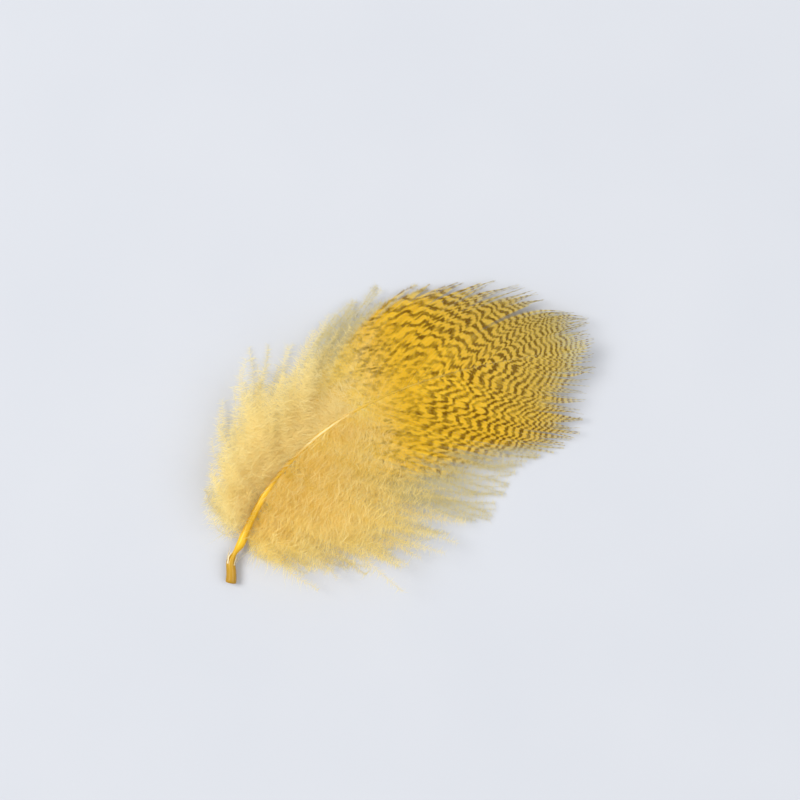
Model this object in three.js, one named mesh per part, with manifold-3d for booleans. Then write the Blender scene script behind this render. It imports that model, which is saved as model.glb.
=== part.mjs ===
// Duck flank feather, lying on a surface with its hollow side down.
// Millimetres and degrees. X runs from the quill's end to the tip, Y to the feather's left, Z up.
import * as THREE from "three";
import { mergeVertices } from "three/addons/utils/BufferGeometryUtils.js";
import Module from "manifold-3d";

const wasm = await Module();
wasm.setup();

// The shaft is one cubic curve, swept towards the feather's right and lifted off the surface.
const SHAFT_CONTROLS = [
  [0, 0, 0.95],
  [20.2, 20.5, 3.6],
  [45.1, 12.5, 6.2],
  [67.0, 2.2, 4.4],
];
const SHAFT_TIP_RADIUS = 0.06;
const SHAFT_BASE_RADIUS = 0.86;
const SHAFT_TAPER = 1.6;
const SHAFT_RINGS = 46;
const SHAFT_RING_CROWDING = 1.45;
const SHAFT_SIDES = 10;

// The quill ends in a short barrel. Above it the shaft narrows to a neck, and bends a little to the left.
// Places and lengths are fractions of the shaft's length.
const QUILL_SWELL = 0.05;
const QUILL_SWELL_LENGTH = 0.055;
const QUILL_NECK = 0.36;
const QUILL_NECK_PLACE = 0.068;
const QUILL_NECK_LENGTH = 0.016;
const QUILL_BEND = 0.8;
const QUILL_BEND_PLACE = 0.053;
const QUILL_BEND_LENGTH = 0.028;
const QUILL_END_ROUNDING = 0.7;

// Barbs along each side: place on the shaft as a fraction of its length, barb length, angle to the shaft
// at the root, angle to the shaft at the tip, and the height of the tip above the surface.
const LEFT_BARBS = [
  [0.11, 11.0, 84, 45, 0.6],
  [0.17, 15.5, 78, 38, 0.6],
  [0.25, 19.5, 72, 32, 0.6],
  [0.32, 24.0, 58, 14, 0.6],
  [0.4, 28.0, 53, 0, 0.5],
  [0.46, 30.5, 48, -12, 0.4],
  [0.53, 33.5, 41, -16, 0.5],
  [0.6, 30.0, 37.5, -12, 1.0],
  [0.685, 24.5, 37, -6, 1.8],
  [0.695, 27.5, 33, -16, 1.8],
  [0.77, 23.0, 31, -11, 2.5],
  [0.9, 13.0, 23, -3, 3.5],
  [1.0, 6.0, 3, 0, 4.1],
];
const RIGHT_BARBS = [
  [0.11, 12.0, 115, 98, 0.6],
  [0.17, 21.0, 103, 86, 0.6],
  [0.24, 28.5, 92, 76, 0.6],
  [0.32, 33.0, 81, 60, 0.6],
  [0.385, 33.0, 70, 50, 0.5],
  [0.45, 31.0, 58, 41, 0.4],
  [0.53, 33.5, 48, 31, 0.5],
  [0.64, 30.0, 43, 24, 1.3],
  [0.75, 22.5, 38, 16, 2.4],
  [0.9, 13.0, 25, 6, 3.5],
  [1.0, 6.0, 3, 0, 4.1],
];
const DROOP_POWER = 1.7;
const ROOT_GAP = 0.1;

// The vanes: sheets of hooked barbs that part into pointed locks near the edge.
const VANE_FROM = 0.38;
const VANE_LOCKS = 16;
const VANE_STATIONS = 12;
const VANE_ROOT_THICKNESS = 0.5;
const VANE_TIP_THICKNESS = 0.28;
const LOCK_TIP_SHARE = 0.12;
const NOTCH_STATIONS = [9, 10, 9, 8, 10];
const LEFT_SPLITS = { 5: 5, 8: 4 };
const RIGHT_SPLITS = { 3: 7, 11: 6 };

// The down: soft locks in three tiers, one lying on the surface and two standing above it.
const DOWN_FROM = 0.115;
const DOWN_TO = 0.352;
const DOWN_LOCKS = 24;
const DOWN_RINGS = 6;
const DOWN_SIDES = 6;
const DOWN_TIERS = [0.55, 6.9, 3.4];
const DOWN_ARCH = [0, 1.75, 1.2];
const DOWN_ROOT_HALF_WIDTH = 0.5;
const DOWN_HALF_WIDTH = 1.3;
const DOWN_TIP_HALF_WIDTH = 0.16;
const DOWN_FLATNESS = 0.95;
const DOWN_WIDEST_LEAD = 0.08;
const DOWN_SETTLES_BY = 0.8;
const DOWN_LENGTH_SPREAD = 0.16;
const DOWN_ANGLE_SPREAD = 8;
const SURFACE_CLEARANCE = 0.02;

// Constants of the repeatable scatter of lock lengths and angles.
const SCATTER_STEP = 12.9898;
const SCATTER_START = 4.1414;
const SCATTER_GAIN = 43758.5453;
const MERGE_DISTANCE = 1e-4;

const COLOURS = { shaft: "#e6b43c", vane: "#c4952f", down: "#e2bf6c" };
const ROUGHNESS = { shaft: 0.35, vane: 0.8, down: 0.95 };

const shaftControls = SHAFT_CONTROLS.map((point) => new THREE.Vector3(...point));
const shaftCurve = new THREE.CubicBezierCurve3(...shaftControls);

function bump(place, middle, length) {
  return Math.exp(-(((place - middle) / length) ** 2));
}

function shaftRadius(place) {
  const taper = SHAFT_TIP_RADIUS + (SHAFT_BASE_RADIUS - SHAFT_TIP_RADIUS) * (1 - place) ** SHAFT_TAPER;
  const swell = QUILL_SWELL * bump(place, 0, QUILL_SWELL_LENGTH);
  const neck = QUILL_NECK * bump(place, QUILL_NECK_PLACE, QUILL_NECK_LENGTH);
  return taper + swell - neck;
}

// A repeatable number from 0 to 1 for a whole number.
function scatter(number) {
  const wave = Math.sin(number * SCATTER_STEP + SCATTER_START) * SCATTER_GAIN;
  return wave - Math.floor(wave);
}

// The row of a barb table at a place between its own rows.
function barbRow(table, place) {
  const next = Math.max(1, table.findIndex((row) => row[0] >= place));
  const [before, after] = [table[next - 1], table[next]];
  const share = THREE.MathUtils.clamp((place - before[0]) / (after[0] - before[0]), 0, 1);
  return before.map((value, column) => THREE.MathUtils.lerp(value, after[column], share));
}

// A barb is an arc in plan that leaves the side of the shaft. This gives a function from the share of its
// length to the point there and the heading.
function barbLine(table, side, place, clearance = 0, turn = 0, stretch = 1) {
  const [, length, leave, end, tipHeight] = barbRow(table, place);
  const centre = shaftCurve.getPointAt(place);
  const tangent = shaftCurve.getTangentAt(place);
  const shaftHeading = Math.atan2(tangent.y, tangent.x);
  const start = shaftHeading + side * THREE.MathUtils.degToRad(leave + turn);
  const bend = side * THREE.MathUtils.degToRad(end - leave);
  const offset = side * (shaftRadius(place) + ROOT_GAP + clearance);
  const root = new THREE.Vector3(-Math.sin(shaftHeading), Math.cos(shaftHeading), 0);
  root.multiplyScalar(offset).add(centre);
  return (share) => {
    const heading = start + bend * share;
    const along = (Math.sin(heading) - Math.sin(start)) / bend;
    const across = (Math.cos(start) - Math.cos(heading)) / bend;
    const height = THREE.MathUtils.lerp(root.z, tipHeight, share ** DROOP_POWER);
    const reach = length * stretch;
    return { point: new THREE.Vector3(root.x + reach * along, root.y + reach * across, height), heading };
  };
}

function geometryFrom(triangles) {
  const geometry = new THREE.BufferGeometry();
  const corners = triangles.flatMap((point) => point.toArray());
  geometry.setAttribute("position", new THREE.Float32BufferAttribute(corners, 3));
  return mergeVertices(geometry, MERGE_DISTANCE);
}

// A closed skin over rings of points that run anticlockwise as seen from the far end.
function loft(rings) {
  const triangles = [];
  const sides = rings[0].length;
  for (let step = 0; step + 1 < rings.length; step += 1) {
    for (let corner = 0; corner < sides; corner += 1) {
      const next = (corner + 1) % sides;
      const [near, far] = [rings[step], rings[step + 1]];
      triangles.push(near[corner], near[next], far[next], near[corner], far[next], far[corner]);
    }
  }
  const [first, last] = [rings[0], rings.at(-1)];
  for (let corner = 1; corner + 1 < sides; corner += 1) {
    triangles.push(first[0], first[corner + 1], first[corner], last[0], last[corner], last[corner + 1]);
  }
  return geometryFrom(triangles);
}

function ring(centre, heading, halfWidth, halfHeight, sides) {
  const across = new THREE.Vector3(-Math.sin(heading), Math.cos(heading), 0);
  return Array.from({ length: sides }, (_, corner) => {
    const angle = (2 * Math.PI * (corner + 0.5)) / sides;
    const point = centre.clone().addScaledVector(across, halfWidth * Math.cos(angle));
    point.z = Math.max(point.z + halfHeight * Math.sin(angle), SURFACE_CLEARANCE);
    return point;
  });
}

function shaftGeometry() {
  const rings = [];
  for (let step = 0; step <= SHAFT_RINGS; step += 1) {
    const place = (step / SHAFT_RINGS) ** SHAFT_RING_CROWDING;
    const tangent = shaftCurve.getTangentAt(place);
    const radius = shaftRadius(place) * (step === 0 ? QUILL_END_ROUNDING : 1);
    const heading = Math.atan2(tangent.y, tangent.x);
    const centre = shaftCurve.getPointAt(place);
    const bend = QUILL_BEND * bump(place, QUILL_BEND_PLACE, QUILL_BEND_LENGTH);
    centre.x -= bend * Math.sin(heading);
    centre.y += bend * Math.cos(heading);
    rings.push(ring(centre, heading, radius, radius, SHAFT_SIDES));
  }
  return loft(rings);
}

// One vane as a comb: neighbouring locks share a seam up to their notch and part beyond it.
function vaneGeometry(table, side, splits) {
  const seams = Array.from({ length: VANE_LOCKS + 1 }, (_, seam) => {
    const place = THREE.MathUtils.lerp(VANE_FROM, 1, seam / VANE_LOCKS);
    return { place, notch: splits[seam] ?? NOTCH_STATIONS[seam % NOTCH_STATIONS.length] };
  });
  const triangles = [];
  const thickness = (station) =>
    THREE.MathUtils.lerp(VANE_ROOT_THICKNESS, VANE_TIP_THICKNESS, station / VANE_STATIONS);
  const lift = (point, height) => point.clone().setZ(point.z + height);
  const quad = (a, b, c, d) => {
    triangles.push(...(side > 0 ? [a, b, c, a, c, d] : [a, c, b, a, d, c]));
  };
  const wall = (from, to) => quad(from.top, from.bottom, to.bottom, to.top);

  for (let lock = 0; lock < VANE_LOCKS; lock += 1) {
    const [near, far] = [seams[lock], seams[lock + 1]];
    const middle = barbLine(table, side, (near.place + far.place) / 2);
    const edge = (seam) => {
      const line = barbLine(table, side, seam.place);
      return Array.from({ length: VANE_STATIONS + 1 }, (_, station) => {
        const share = station / VANE_STATIONS;
        const parted = Math.max(0, station - seam.notch) / (VANE_STATIONS - seam.notch);
        const point = line(share).point.lerp(middle(share).point, parted * (1 - LOCK_TIP_SHARE));
        const half = thickness(station) / 2;
        return { top: lift(point, half), bottom: lift(point, -half) };
      });
    };
    const [a, b] = [edge(near), edge(far)];
    wall(a[0], b[0]);
    wall(b[VANE_STATIONS], a[VANE_STATIONS]);
    for (let station = 0; station < VANE_STATIONS; station += 1) {
      const next = station + 1;
      quad(a[station].top, b[station].top, b[next].top, a[next].top);
      quad(a[next].bottom, b[next].bottom, b[station].bottom, a[station].bottom);
      if (lock === 0 || station >= near.notch) {
        wall(a[next], a[station]);
      }
      if (lock === VANE_LOCKS - 1 || station >= far.notch) {
        wall(b[station], b[next]);
      }
    }
  }
  return geometryFrom(triangles);
}

function downLock(table, side, lock) {
  const tier = lock % DOWN_TIERS.length;
  const place = THREE.MathUtils.lerp(DOWN_FROM, DOWN_TO, lock / (DOWN_LOCKS - 1));
  const turn = DOWN_ANGLE_SPREAD * (2 * scatter(lock) - 1);
  const stretch = 1 - DOWN_LENGTH_SPREAD * scatter(lock + DOWN_LOCKS);
  const line = barbLine(table, side, place, DOWN_ROOT_HALF_WIDTH, turn, stretch);
  const rootHeight = line(0).point.z;
  const rings = [];
  for (let step = 0; step <= DOWN_RINGS; step += 1) {
    const share = step / DOWN_RINGS;
    const { point, heading } = line(share);
    const swell = Math.sin(Math.PI * Math.min(1, share + DOWN_WIDEST_LEAD));
    const ends = THREE.MathUtils.lerp(DOWN_ROOT_HALF_WIDTH, DOWN_TIP_HALF_WIDTH, share);
    const halfWidth = ends + (DOWN_HALF_WIDTH - ends) * swell;
    const settle = THREE.MathUtils.smoothstep(share, 0, DOWN_SETTLES_BY);
    const rise = THREE.MathUtils.lerp(rootHeight, DOWN_TIERS[tier], settle);
    point.z = rise + DOWN_ARCH[tier] * Math.sin(Math.PI * share);
    rings.push(ring(point, heading, halfWidth, halfWidth * DOWN_FLATNESS, DOWN_SIDES));
  }
  return loft(rings);
}

function solidFrom(geometry) {
  const vertProperties = Float32Array.from(geometry.attributes.position.array);
  const triVerts = Uint32Array.from(geometry.index.array);
  return new wasm.Manifold(new wasm.Mesh({ numProp: 3, vertProperties, triVerts }));
}

function geometryOf(solid) {
  const { vertProperties, triVerts } = solid.getMesh();
  const geometry = new THREE.BufferGeometry();
  geometry.setAttribute("position", new THREE.BufferAttribute(vertProperties, 3));
  geometry.setIndex(new THREE.BufferAttribute(triVerts, 1));
  return geometry;
}

// Crossing locks can shut a small hollow in between them, and its skin is left out.
function downGeometry(table, side) {
  let solid = solidFrom(downLock(table, side, 0));
  for (let lock = 1; lock < DOWN_LOCKS; lock += 1) {
    solid = solid.add(solidFrom(downLock(table, side, lock)));
  }
  const outside = solid.decompose().filter((skin) => skin.volume() > 0);
  return geometryOf(outside.reduce((whole, skin) => whole.add(skin)));
}

function piece(name, geometry, finish) {
  geometry.computeVertexNormals();
  const material = new THREE.MeshStandardMaterial({ color: COLOURS[finish], roughness: ROUGHNESS[finish] });
  const mesh = new THREE.Mesh(geometry, material);
  mesh.name = name;
  return mesh;
}

const feather = new THREE.Group();
feather.add(
  piece("shaft", shaftGeometry(), "shaft"),
  piece("left_vane", vaneGeometry(LEFT_BARBS, 1, LEFT_SPLITS), "vane"),
  piece("right_vane", vaneGeometry(RIGHT_BARBS, -1, RIGHT_SPLITS), "vane"),
  piece("left_down", downGeometry(LEFT_BARBS, 1), "down"),
  piece("right_down", downGeometry(RIGHT_BARBS, -1), "down"),
);

// The origin is on the surface, under the middle of the feather.
const box = new THREE.Box3().setFromObject(feather);
const middle = box.getCenter(new THREE.Vector3());
feather.position.set(-middle.x, -middle.y, -box.min.z);
feather.updateMatrixWorld(true);

export default feather;
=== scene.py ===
"""Duck flank feather: barbs and barbules as mesh on the frame's shaft, vanes and down."""
import math
from collections import namedtuple

import bpy
import numpy as np
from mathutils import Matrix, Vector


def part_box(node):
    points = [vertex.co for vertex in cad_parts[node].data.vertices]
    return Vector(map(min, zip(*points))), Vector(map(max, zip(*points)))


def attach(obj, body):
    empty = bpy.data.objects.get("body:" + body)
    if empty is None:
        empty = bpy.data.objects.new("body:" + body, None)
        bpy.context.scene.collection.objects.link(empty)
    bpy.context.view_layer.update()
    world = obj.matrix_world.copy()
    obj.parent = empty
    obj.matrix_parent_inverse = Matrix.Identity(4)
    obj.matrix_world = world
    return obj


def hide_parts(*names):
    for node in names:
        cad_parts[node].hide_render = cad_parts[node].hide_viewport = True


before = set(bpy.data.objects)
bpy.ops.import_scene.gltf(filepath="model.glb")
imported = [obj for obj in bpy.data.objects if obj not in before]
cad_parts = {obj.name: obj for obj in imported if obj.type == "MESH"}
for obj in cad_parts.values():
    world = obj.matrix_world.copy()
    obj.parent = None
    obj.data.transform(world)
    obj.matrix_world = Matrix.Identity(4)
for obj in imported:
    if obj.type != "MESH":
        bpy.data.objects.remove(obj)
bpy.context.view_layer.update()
chance = np.random.default_rng(seed=417)

MM = 0.001

# The feather's form, in millimetres and degrees, measured from the quill's end: X to the tip, Y to the left.
# A place is a share of the shaft's length.
SHAFT_CONTROLS = [(0, 0, 0.95), (20.2, 20.5, 3.6), (45.1, 12.5, 6.2), (67.0, 2.2, 4.4)]
SHAFT_SAMPLES = 4001
SHAFT_TIP_RADIUS = 0.06
SHAFT_BASE_RADIUS = 0.86
SHAFT_TAPER = 1.6
QUILL_NECK_PLACE = 0.068
QUILL_END_ROUNDING = 0.7
FRAME_SHAFT_SIDES = 10
FRAME_SHAFT_SAMPLES = 400

# The quill's bumps. Here and below, a bump is a height, a place and a length.
QUILL_SWELL = (0.05, 0.0, 0.055)
QUILL_NECK = (0.36, QUILL_NECK_PLACE, 0.016)
QUILL_BEND = (0.8, 0.053, 0.028)

# Barbs along each side: place on the shaft, length, angle at the root, angle at the tip, height of the tip.
LEFT_BARBS = [
    (0.11, 11.0, 84, 45, 0.6),
    (0.17, 15.5, 78, 38, 0.6),
    (0.25, 19.5, 72, 32, 0.6),
    (0.32, 24.0, 58, 14, 0.6),
    (0.4, 28.0, 53, 0, 0.5),
    (0.46, 30.5, 48, -12, 0.4),
    (0.53, 33.5, 41, -16, 0.5),
    (0.6, 30.0, 37.5, -12, 1.0),
    (0.685, 24.5, 37, -6, 1.8),
    (0.695, 27.5, 33, -16, 1.8),
    (0.77, 23.0, 31, -11, 2.5),
    (0.9, 13.0, 23, -3, 3.5),
    (1.0, 6.0, 3, 0, 4.1),
]
RIGHT_BARBS = [
    (0.11, 12.0, 115, 98, 0.6),
    (0.17, 21.0, 103, 86, 0.6),
    (0.24, 28.5, 92, 76, 0.6),
    (0.32, 33.0, 81, 60, 0.6),
    (0.385, 33.0, 70, 50, 0.5),
    (0.45, 31.0, 58, 41, 0.4),
    (0.53, 33.5, 48, 31, 0.5),
    (0.64, 30.0, 43, 24, 1.3),
    (0.75, 22.5, 38, 16, 2.4),
    (0.9, 13.0, 25, 6, 3.5),
    (1.0, 6.0, 3, 0, 4.1),
]
TABLE_SMOOTHING = 0.006
TABLE_SMOOTHING_SAMPLES = 7
DROOP_POWER = 1.7
ROOT_OFFSET = 0.6
ROOT_LIFT = 0.4

# Strands: the corners of a barb's stalk, its thickness at the tip, and the barbules along it. On the baking
# map each barb has a row, of which its barbules reach over most and its stalk takes up a little.
RAMUS_CORNERS = (90, 210, 330)
RAMUS_TIP = 0.3
FEWEST_BARBULES = 4
BARBULE_SHIFTS = (0.2, 0.8)
LOOSE_LENGTHS = (0.4, 1.1)
BAKE_REACH = 0.47
BAKE_STALK = 0.1
SURFACE_CLEARANCE = 0.02

# A fixed scatter: it turns a whole number into one between 0 and 1 that looks drawn.
SCATTER_STEP = 12.9898
SCATTER_START = 4.1414
SCATTER_GAIN = 43758.5453

# The horn of the shaft. Its mouth's rings are a place and a share of the quill's radius, from inside out.
QUILL_MOUTH = [(0.025, 0.2), (0.006, 0.5), (0.0, 0.66), (0.001, 0.92)]
HORN_RINGS = 200
HORN_FIRST_RING = 0.01
HORN_RING_POWER = 1.2
HORN_SIDES = 20
HORN_GROOVE = (0.16, 0.0, 0.35)
HORN_GROOVE_PLACES = (0.12, 0.2)
HORN_BAKE_END = 0.9

# Scraps of sheath at the quill's neck. Their five corners go from root to tip by way and sideways by lean.
SHEATH_SCRAPS = 14
FAR_SCRAP_EVERY = 3
SCRAP_TURN_SPREAD = 0.7
SCRAP_STARTS = (-0.026, -0.014)
SCRAP_LENGTHS = (0.9, 2.1)
SCRAP_HALF_ANGLES = (0.12, 0.28)
SCRAP_FLARES = (0.1, 0.8)
SCRAP_CLEARANCE = 0.02
SCRAP_WAYS = (0, 0, 0.5, 0.5, 1)
SCRAP_LEANS = (-1, 1, -0.7, 0.7)
SCRAP_TIP_LEAN = 0.5
SCRAP_FACES = ((0, 1, 3), (0, 3, 2), (2, 3, 4))
SCRAP_BAKE = (0.92, 0.99)
SCRAP_BAKE_REACH = 0.4

# Vanes
VANE_FROM = 0.352
SEAMS_FROM = 0.38
VANE_LOCKS = 16
VANE_STATIONS = 12
NOTCH_STATIONS = [9, 10, 9, 8, 10]
NOTCH_CHANGE = (0.3, 0.7)
LEFT_SPLITS = {5: 5, 8: 4}
RIGHT_SPLITS = {3: 7, 11: 6}
VANE_BARBS = 122
VANE_PLACE_SPREAD = 0.0008
LEAST_CROWDING = 0.12
CROWDING_SAMPLES = 1000
VANE_STEPS = 40
VANE_CLUMPING = 0.6
FLUFF_CLUMPING = 0.15
VANE_TIP = (50.0, 71.0)
VANE_END_SPREAD = 0.2
VANE_RAMUS_RADIUS = 0.05
VANE_BARBULE_SPACING = 0.062
VANE_BARBULE_SEGMENTS = 1
VANE_BARBULE_WIDTH = 0.085
VANE_BARBULE_ANGLE = 40
VANE_BARBULE_ANGLE_SPREAD = 4
VANE_BARBULE_OVERLAP = 1.2
VANE_BARBULE_LENGTHS = (0.15, 0.8)
VANE_BARBULE_LENGTH_SPREAD = (0.85, 1.1)
VANE_BARBULE_SHORTENS = (0.6, 1.0)
# Forward barbules dip further than backward ones.
VANE_BARBULE_SINKS = (0.06, 0.02)
VANE_BARBULE_SINK_SPREAD = 0.015

# The share of each barb that stays hooked to its neighbours, by place. Beyond it the barbs stray.
LEFT_HOOKED = [
    (0.35, 0.1), (0.4, 0.4), (0.43, 0.82), (0.46, 0.88), (0.5, 0.82), (0.53, 0.75), (0.57, 0.75),
    (0.6, 0.82), (0.685, 0.84), (0.695, 0.8), (0.8, 0.74), (0.92, 0.54), (1.0, 0.2),
]
RIGHT_HOOKED = [
    (0.35, 0.2), (0.4, 0.52), (0.44, 0.6), (0.48, 0.7), (0.52, 0.76), (0.56, 0.84), (0.64, 0.85),
    (0.75, 0.78), (0.85, 0.66), (0.92, 0.54), (1.0, 0.2),
]
HOOKED_SPREAD = 0.03
LOOSE_RANGE = (-0.12, 0.2)
STRAY_POWER = 1.5
STRAY_GROUPS = (1, 4)
STRAY_ACROSS = 0.45
STRAY_APART = 0.12
STRAY_UP_GROUPS = (2, 6)
STRAY_UP = 0.3
STRAY_SLOPE = 0.04
LOOSE_BARBULES_KEPT = 0.88
LOOSE_BARBULE_LENGTH = 0.62
FRINGE_TIP = 0.15

# Towards the tip the barbs' roots rise by this share of the shaft's radius and close over the shaft.
ROOT_COVER = 0.75
ROOT_COVER_PLACES = (0.46, 0.56)
ROOT_COVER_POWER = 8

# The vanes' downy beginning, by the distance past the line where the bars set in. The loose ends of the
# first barbs are downy too, by place, and end unevenly.
FUZZ_RANGE = (-7.0, 4.5)
LEFT_FLUFF = (0.41, 0.47)
RIGHT_FLUFF = (0.44, 0.6)
FLUFF_KEPT = 0.5
FLUFF_END_SPREAD = 0.3
FLUFF_TIP = 0.7
FLUFF_SWAY = 0.45
FLUFF_WAVES = 13.0
FUZZ_LENGTH = 1.5
FUZZ_WIDTH = 0.045
FUZZ_ANGLE = 56
FUZZ_ANGLE_SPREAD = 24
FUZZ_SINK_SPREAD = 0.3

# Down
DOWN_FROM = 0.115
DOWN_TO = 0.352
DOWN_LOCKS = 24
# The barbs lie a little below the middle of the frame's locks, because their barbules rise above them.
DOWN_TIERS = [0.55, 6.0, 3.0]
DOWN_ARCH = [0, 1.5, 1.0]
DOWN_ROOT_HALF_WIDTH = 0.5
DOWN_HALF_WIDTH = 1.3
DOWN_TIP_HALF_WIDTH = 0.16
DOWN_FLATNESS = 0.95
DOWN_WIDEST_LEAD = 0.08
DOWN_SETTLES_BY = 0.8
DOWN_LENGTH_SPREAD = 0.16
DOWN_ANGLE_SPREAD = 8
DOWN_BARBS_PER_LOCK = 6
DOWN_STEPS = 20
DOWN_PLACE_SPREAD = 0.008
DOWN_TURN_SPREAD = 6
DOWN_TURN_MOST = 10
DOWN_LONGEST = 1.03
DOWN_BARB_SPREAD = (0.9, 0.42)
DOWN_BARB_SPREAD_POWER = 0.6
DOWN_EVEN_PLACES = (0.12, 0.24)
DOWN_FAN = 1.2
DOWN_FANS_BY = 0.3
DOWN_TIP_FAN = 0.7
DOWN_STACK = 0.6
DOWN_WAVES = (6, 13)
DOWN_SWAY = 0.45
DOWN_BOB = 0.2
DOWN_BOB_WAVES = 1.3
DOWN_RAMUS_RADIUS = 0.028
DOWN_BARBULE_SPACING = 0.15
DOWN_BARBULE_SEGMENTS = 2
DOWN_BARBULE_WIDTH = 0.042
DOWN_BARBULE_LENGTH = 2.6
DOWN_BARBULE_TIP_LENGTH = 0.35
DOWN_BARBULE_SHORTENS = (0.5, 1.0)
DOWN_BARBULE_ANGLE = 58
DOWN_BARBULE_ANGLE_SPREAD = 20
DOWN_CURL_SPREAD = 0.7
DOWN_RISE_SPREAD = 0.35
DOWN_RISE = (-0.5, 0.32)
DOWN_BARE_LENGTH = 4.0
DOWN_BARE_SHARE = 0.2
# Painted light in each side's down: the left down is painted paler to lift the shade in its hollow beside
# the shaft.
LEFT_PAINTED_LIGHT = 0.45
RIGHT_PAINTED_LIGHT = 0.0

# Tufts: barbules that cling together in a broader, paler and longer strand. They are the strands of the
# highest tone.
TUFT_FROM = 0.86
TUFT_WIDTH = 0.085
TUFT_LENGTH = 1.5

# Short downy barbs that lie on the shaft's sides, in the down's hollow and on the vanes' beginning.
VEIL_BARBS = 110
VEIL_PLACES = (0.14, 0.47)
VEIL_THINS = (0.28, 0.45)
VEIL_BARE_TO = (0.19, 0.25)
VEIL_TURN_SPREAD = 9
VEIL_STRETCH = (0.2, 0.75)
VEIL_STRETCH_POWER = 1.5
VEIL_THIN_STRETCH = 0.5
VEIL_LIFTS = (0.25, 0.75)
VEIL_ARCHES = (0.48, 2.4)
VEIL_COVER = (0.75, 0.3, 0.06)
VEIL_COVER_POWER = 4

# Bars: rings around a point beside the shaft, closer together towards the tip. Each vane has its own point,
# and a share by which its bars follow the distance along each barb instead of the rings. They set in along a
# slanted line across the feather, later beside the shaft, and on each vane by its own lead earlier.
Bars = namedtuple("Bars", "centre share_along lead")
LEFT_BARS = Bars(centre=(44.1, 11.75), share_along=0.0, lead=2.5)
RIGHT_BARS = Bars(centre=(46.0, 10.2), share_along=0.5, lead=0.0)
BAR_PITCHES = (1.75, 0.9)
BAR_PITCH_RANGE = (4.0, 23.0)
BAR_REACH = 60.0
BAR_SAMPLES = 600
BAR_CENTRE_SOFTNESS = 2.0
BAR_START = 34.0
BAR_START_SLANT = 0.36
BAR_START_DELAY = (8.0, 12.0, 3.0)
BAR_FADE = (-15.0, 19.0)
LOOSE_BAR_DEPTH = 0.85
DOWNY_BAR_DEPTHS = (0.85, 0.1)

# How far the bars stray from their rings, in bars: by waves over the vanes, by a zigzag and by steps from
# barb to barb, and along each barb.
WARP_WAVES = 9
WARP_LENGTHS = (1.9, 4.5)
WARP_HEIGHT = 0.17
ZIGZAG_BARBS = (3, 8)
ZIGZAG_HEIGHTS = (0.1, 0.38)
STEP_BARBS = (4, 10)
STEP_HEIGHT = 0.5
OFFSET_SPREAD = 0.07
EARLY_SPREAD = 0.16
WANDER_HEIGHT = 0.15
WANDER_DRIFT = 0.5
WANDER_WAVES = (3, 7)

# Where the bars set in, dashes stand for them: noise that is stretched in a slanted direction. Noise also
# mottles the bars and breaks them up. A gain is a factor and a shift.
DASH_FADE = (-3.0, 10.0)
DASH_SCALE = 1650
DASH_DETAIL = 1.0
DASH_TURN = -24
DASH_STRETCH = 2.2
DASH_GAIN = (3.2, -1.05)
MOTTLE_SCALE = 1100
MOTTLE_GAIN = (1.7, -0.85)
MOTTLE_WINDOW = (-4.0, 4.0)
BREAK_SCALE = 750
BREAK_LEVELS = ((0.3, 0.45), (0.55, 1.0))
BAR_LEVELS = ((0.38, 0.0), (0.76, 1.0))

# The vanes' colours, in linear light. Ramps and levels are stops with a place.
BAR_COLOUR = (0.22, 0.105, 0.002)
TIP_BAR_COLOUR = (0.25, 0.165, 0.03)
GOLD_RAMP = ((0.0, (0.79, 0.475, 0.022)), (1.0, (0.94, 0.61, 0.042)))
FLUFF_RAMP = ((0.0, (0.92, 0.67, 0.11)), (0.8, (0.94, 0.73, 0.18)), (0.95, (0.98, 0.86, 0.4)))
WISP_COLOUR = (0.99, 0.89, 0.52)
WISP_LEVELS = ((0.72, 0.0), (0.9, 0.5))
# Towards the tip and at the loose ends the vane turns olive: its own paler straw, darkened by painted shade
# for the shadow seen through the gaps between the barbs.
TIP_COLOUR_WITH_SHADE = (0.52, 0.43, 0.15)
TIP_LEVELS = ((0.0, 0.0), (1.0, 0.8))
LOOSE_COLOUR_WITH_SHADE = (0.64, 0.54, 0.22)
LOOSE_DOWNY_COLOUR_WITH_SHADE = (0.71, 0.615, 0.31)

# The down's colours
DOWN_RAMP = ((0.0, (0.94, 0.7, 0.17)), (0.8, (0.96, 0.77, 0.25)), (0.9, (0.98, 0.85, 0.4)))
PATCH_COLOUR = (0.87, 0.63, 0.09)
PATCH_SCALE = 520
PATCH_LEVELS = ((0.48, 0.0), (0.68, 0.6))
DOWN_TIP_COLOUR = (0.97, 0.84, 0.42)
DOWN_TIP_LEVELS = ((0.1, 0.0), (1.0, 0.6))
# The pale colour of the painted light that lightens the left down.
PAINTED_LIGHT_DOWN_COLOUR = (0.99, 0.9, 0.55)

# The shaft's colours, from the quill to the tip. The paler stop at 0.42 is partly the horn's own paler
# colour and partly painted highlight for the shaft's lit top.
HORN_RAMP = (
    (0.0, (0.46, 0.24, 0.008)),
    (0.05, (0.62, 0.35, 0.012)),
    (0.1, (1.0, 0.61, 0.018)),
    (0.28, (0.97, 0.6, 0.035)),
    (0.42, (0.93, 0.64, 0.1)),
    (0.5, (0.76, 0.47, 0.04)),
    (0.6, (0.66, 0.42, 0.035)),
    (1.0, (0.62, 0.5, 0.17)),
)
STREAK_COLOUR = (0.6, 0.32, 0.015)
STREAK_SCALE = 700
STREAK_LEVELS = ((0.45, 0.0), (0.75, 0.4))
# Painted highlight: a pale line along the top of the shaft, where it is lit, over the places in the last
# levels.
CREST_HIGHLIGHT_COLOUR = (1.0, 0.88, 0.5)
CREST_HIGHLIGHT_LEVELS = ((0.88, 0.0), (0.97, 1.0))
HIGHLIGHT_PLACE_LEVELS = ((0.34, 0.0), (0.38, 0.9), (0.46, 0.9), (0.5, 0.0))
SCRAP_COLOUR = (0.9, 0.78, 0.48)

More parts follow.
